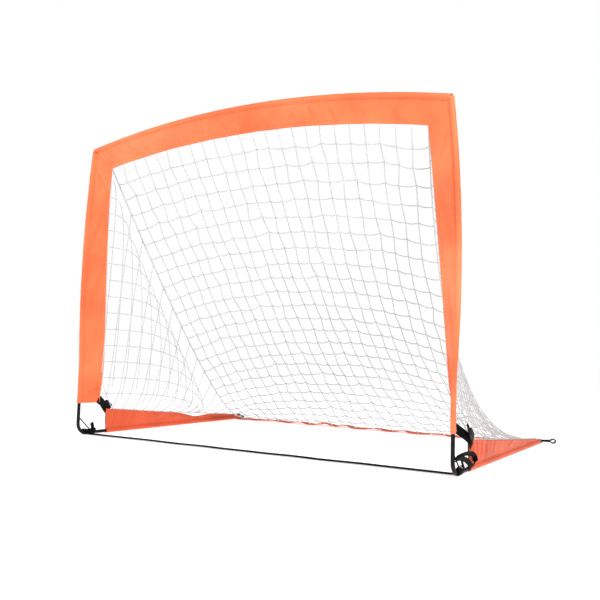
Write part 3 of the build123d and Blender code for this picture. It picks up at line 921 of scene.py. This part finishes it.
def strap(path, across, width, thick=0.0016, step=0.003):
    """Flat ribbed webbing along a path; across is the direction of its width, or one for each point."""
    line = smooth_path(path, step)
    across = np.asarray(across, float)
    if across.ndim == 1:
        across = np.tile(across, (len(path), 1))
    run = np.concatenate([[0.0], np.cumsum(np.linalg.norm(np.diff(line, axis=0), axis=1))])
    nodes = [np.argmin(np.linalg.norm(line - np.asarray(p, float), axis=1)) for p in path]
    wide = np.stack([np.interp(np.arange(len(line)), nodes, across[:, k]) for k in range(3)], axis=1)
    tangent = np.gradient(line, axis=0)
    tangent /= np.linalg.norm(tangent, axis=1)[:, None]
    wide -= tangent * (wide * tangent).sum(1)[:, None]
    wide /= np.linalg.norm(wide, axis=1)[:, None]
    up = np.cross(tangent, wide)
    ribs = 10
    points, uvs = [], []
    for i, centre in enumerate(line):
        for face in (1, -1):
            for k in range(ribs + 1):
                share = (k / ribs - 0.5) * face
                rib = 0.00012 * (k % 2)
                half = thick / 2 * (0.55 if k in (0, ribs) else 1.0) + rib
                points.append(centre + wide[i] * width * share + up[i] * face * half)
                uvs.append((run[i], width * share))
    columns = 2 * (ribs + 1)
    faces = grid_faces(len(line), columns, closed=True)
    for first in (0, len(points) - columns):
        for k in range(ribs):
            quad = (first + k, first + k + 1, first + columns - 2 - k, first + columns - 1 - k)
            faces.append(quad if first else quad[::-1])
    return points, faces, uvs


def webbing_piece(name, side, *strap_args, rides=True, nodes=(), **options):
    """A strap made on the right side, mirrored for the left, which rides on its leg unless told not to."""
    points, faces, uvs = strap(*strap_args, **options)
    if side == "left":
        points, faces = mirrored(points), flip(faces)
    piece = dress(make_mesh(name, points, faces, uvs), WEBBING)
    for node in nodes:
        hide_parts(node)
    if rides:
        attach(piece, side + "_leg")
    return piece


def place(x, y, z):
    """A point on the right side: x from the post axis, y behind it, height z."""
    return np.array([HALF + x, POST_Y + y, z])


ACROSS_X = np.array([1.0, 0.0, 0.0])

# The stake loop swings outwards from the tab behind the rear cap
TAB_Y = 0.905
EYE_TURN = radians(68.0)
EYE_REACH = 0.038  # from the tab to the eye's centre
EYE_R = 0.0062
EYE_Z = 0.0081
EYE_AXIS = np.array([cos(EYE_TURN), -sin(EYE_TURN), 0.0])


def stake_point(reach, rise):
    """A point on the stake loop: reach out from its tab, or back along the leg where it is negative."""
    if reach < 0:
        return place(0, TAB_Y + reach, EYE_Z + rise)
    return place(reach * sin(EYE_TURN), TAB_Y + reach * cos(EYE_TURN), EYE_Z + rise)


sleeve_low, sleeve_band, _normal = post_place(0.118)
sleeve_foot = sleeve_low + sleeve_band * (BAND_REACH - 0.003)


def corner_webbing(side):
    """The strap from the foot of the post's sleeve to the panel, and its loose tail."""
    path = [sleeve_foot + np.array([0, -0.004, -0.008]), place(-0.014, 0.080, 0.102),
            place(-0.006, 0.098, 0.091), place(0.001, 0.114, 0.080), place(0.0022, 0.127, 0.069),
            place(0.0022, 0.134, 0.060)]
    lean = np.array([(0, 0.42, 0.90), (0, 0.50, 0.86), (0, 0.58, 0.80), (0, 0.72, 0.68), (0, 0.86, 0.50),
                     (0, 0.92, 0.40)], float)
    webbing_piece(side + "_corner_webbing", side, path, lean, 0.025, nodes=[side + "_corner_strap"])
    tail = [place(0.0045, 0.126, 0.070), place(0.0052, 0.114, 0.083), place(0.0058, 0.102, 0.099),
            place(0.0045, 0.092, 0.116)]
    webbing_piece(side + "_strap_tail", side, tail, (0, 0.70, 0.66), 0.012)


def tube_wrap(side):
    """Webbing wound round the corner tube's foot, ending in a short tail that stands up."""
    turns, steps = 3.2, 12  # steps in each turn
    path = []
    for k in range(int(turns * steps) + 1):
        angle = 2 * pi * k / steps
        share = k / (turns * steps)
        swell = 0.0072 + 0.0016 * sin(5.1 * share * pi)
        height = GROUND_Z + 0.0030 + swell * cos(angle) * 1.25
        path.append(place(swell * sin(angle), 0.026 + 0.040 * share, max(0.0026, height)))
    path.append(place(0.003, 0.064, 0.025))
    path.append(place(0.002, 0.058, 0.036))
    webbing_piece(side + "_tube_wrap", side, path, (0.0, 1.0, 0.0), 0.013, thick=0.0014, step=0.0025,
                  nodes=[side + "_strap_wrap"])


def stake_webbing(side):
    """Webbing out of the rear cap, round the stake's eye and back."""
    out = [(-0.012, 0.0016), (-0.004, 0.0016), (0.010, 0.0014), (0.024, 0.0020)]  # reach and rise
    path = [stake_point(reach, rise) for reach, rise in out]
    for k in range(9):
        angle = radians(150) - radians(300) * k / 8
        path.append(stake_point(EYE_REACH + EYE_R * 1.25 * cos(angle), EYE_R * sin(angle)))
    path += [stake_point(reach, -rise) for reach, rise in reversed(out)]
    widths = np.array([ACROSS_X, ACROSS_X] + [EYE_AXIS] * 13 + [ACROSS_X, ACROSS_X])
    webbing_piece(side + "_stake_webbing", side, path, widths, 0.010, thick=0.0036, step=0.002,
                  nodes=[side + "_stake_loop"])


for side in ("left", "right"):
    corner_webbing(side)
    tube_wrap(side)
    stake_webbing(side)

path = [place(0.007, 0.002, 0.046), place(0.009, 0.030, 0.049), place(0.010, 0.070, 0.049),
        place(0.010, 0.110, 0.045), place(0.009, 0.137, 0.036), place(0.009, 0.144, 0.024),
        place(0.009, 0.130, 0.016), place(0.010, 0.106, 0.018), place(0.011, 0.082, 0.028),
        place(0.010, 0.058, 0.037), place(0.009, 0.030, 0.042), place(0.007, 0.002, 0.041)]
webbing_piece("carry_webbing", "right", path, (0.55, 0.0, 0.95), 0.013, nodes=["carry_loop"])

# The strap across the mouth lies on the ground and ends under the corner tubes
STRAP_Y = 0.040


def strap_point(x):
    """A point on the middle of the mouth's strap, which wanders a little."""
    return np.array([x, POST_Y + STRAP_Y + 0.002 * ripple(x, 0, 0.2, 81),
                     0.0028 + 0.0008 * (1 + ripple(x, 0, 0.1, 83))])


for side in ("left", "right"):
    path = [strap_point(x) for x in np.linspace(0.0, HALF - 0.012, 14)]
    path += [place(-0.006, STRAP_Y, 0.0045), place(-0.0005, STRAP_Y, 0.0026)]
    front = webbing_piece(side + "_mouth_webbing", side, path, (0.0, 1.0, 0.10), 0.018, rides=False,
                          nodes=["front_strap"])
    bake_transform(front)

# ------------------------------------------------------------------ CAD pieces that stay, with their finishes

FINISHES = (
    (STEEL, ("corner_tube", "corner_brace", "top_elbow", "post_ferrule", "crossbar_ferrule")),
    (FIBREGLASS, ("post_lower_pole", "post_upper_pole", "crossbar_pole", "ground_pole")),
    (PLASTIC, ("rear_cap", "strap_buckle")),
    (ELASTIC, ("shock_cord",)),
)
for name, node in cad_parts.items():
    for material, words in FINISHES:
        if any(word in name for word in words):
            node.data.materials.clear()
            node.data.materials.append(material)

# ------------------------------------------------------------------ camera, floor and light

EYE = Vector((1.158, POST_Y - 1.665, 0.272))
YAW = radians(30.34)
PITCH = radians(4.155)
ROLL = radians(1.689)
LENS = 44.57  # millimetres, on a sensor 36 mm wide

forward = Vector((-sin(YAW) * cos(PITCH), cos(YAW) * cos(PITCH), sin(PITCH)))
level = Vector((cos(YAW), sin(YAW), 0))
upright = level.cross(forward)
across = level * cos(ROLL) + upright * sin(ROLL)
above = upright * cos(ROLL) - level * sin(ROLL)
camera_data = bpy.data.cameras.new("camera")
camera_data.lens = LENS
camera_data.sensor_width = 36
camera = bpy.data.objects.new("camera", camera_data)
camera.matrix_world = Matrix.Translation(EYE) @ Matrix((across, above, -forward)).transposed().to_4x4()
bpy.context.scene.collection.objects.link(camera)
bpy.context.scene.camera = camera

FLOOR_HALF = 30
corners = [(x * FLOOR_HALF, y * FLOOR_HALF, 0) for x, y in ((-1, -1), (1, -1), (1, 1), (-1, 1))]
floor = make_mesh("floor", corners, [(0, 1, 2, 3)], smooth=False)
floor_nodes = Nodes("pale_floor", (0.90, 0.90, 0.90), 0.9)
floor_nodes.shader.inputs["Emission Color"].default_value = (1, 1, 1, 1)
floor_nodes.shader.inputs["Emission Strength"].default_value = 0.62
floor.data.materials.append(floor_nodes.material)
floor.location.z = -0.0004  # just under the goal

SKY_LIGHT = 0.42  # the backdrop is plain white, and lights the goal less than it shows
world = bpy.data.worlds.new("studio")
world.use_nodes = True
backdrop = world.node_tree.nodes["Background"]
backdrop.inputs["Color"].default_value = (1, 1, 1, 1)
backdrop.inputs["Strength"].default_value = 1.0
sky_light = world.node_tree.nodes.new("ShaderNodeBackground")
sky_light.inputs["Strength"].default_value = SKY_LIGHT
sky_light.inputs["Color"].default_value = (1, 1, 1, 1)
mixed = world.node_tree.nodes.new("ShaderNodeMixShader")
seen = world.node_tree.nodes.new("ShaderNodeLightPath")
world.node_tree.links.new(seen.outputs["Is Camera Ray"], mixed.inputs[0])
world.node_tree.links.new(sky_light.outputs[0], mixed.inputs[1])
world.node_tree.links.new(backdrop.outputs[0], mixed.inputs[2])
world.node_tree.links.new(mixed.outputs[0], world.node_tree.nodes["World Output"].inputs["Surface"])
bpy.context.scene.world = world


def soft_light(name, place, target, size, power):
    """A square soft box that faces a point."""
    data = bpy.data.lights.new(name, "AREA")
    data.size = size
    data.energy = power
    lamp = bpy.data.objects.new(name, data)
    lamp.location = place
    lamp.rotation_euler = (Vector(target) - Vector(place)).to_track_quat("-Z", "Y").to_euler()
    bpy.context.scene.collection.objects.link(lamp)


soft_light("key", (2.5, -2.3, 2.6), (0, -0.2, 0.5), 0.8, 92)
soft_light("side", (-2.9, -1.9, 1.2), (0, -0.2, 0.4), 1.2, 34)

bpy.context.scene.view_settings.view_transform = "Standard"
bpy.context.scene.view_settings.look = "None"
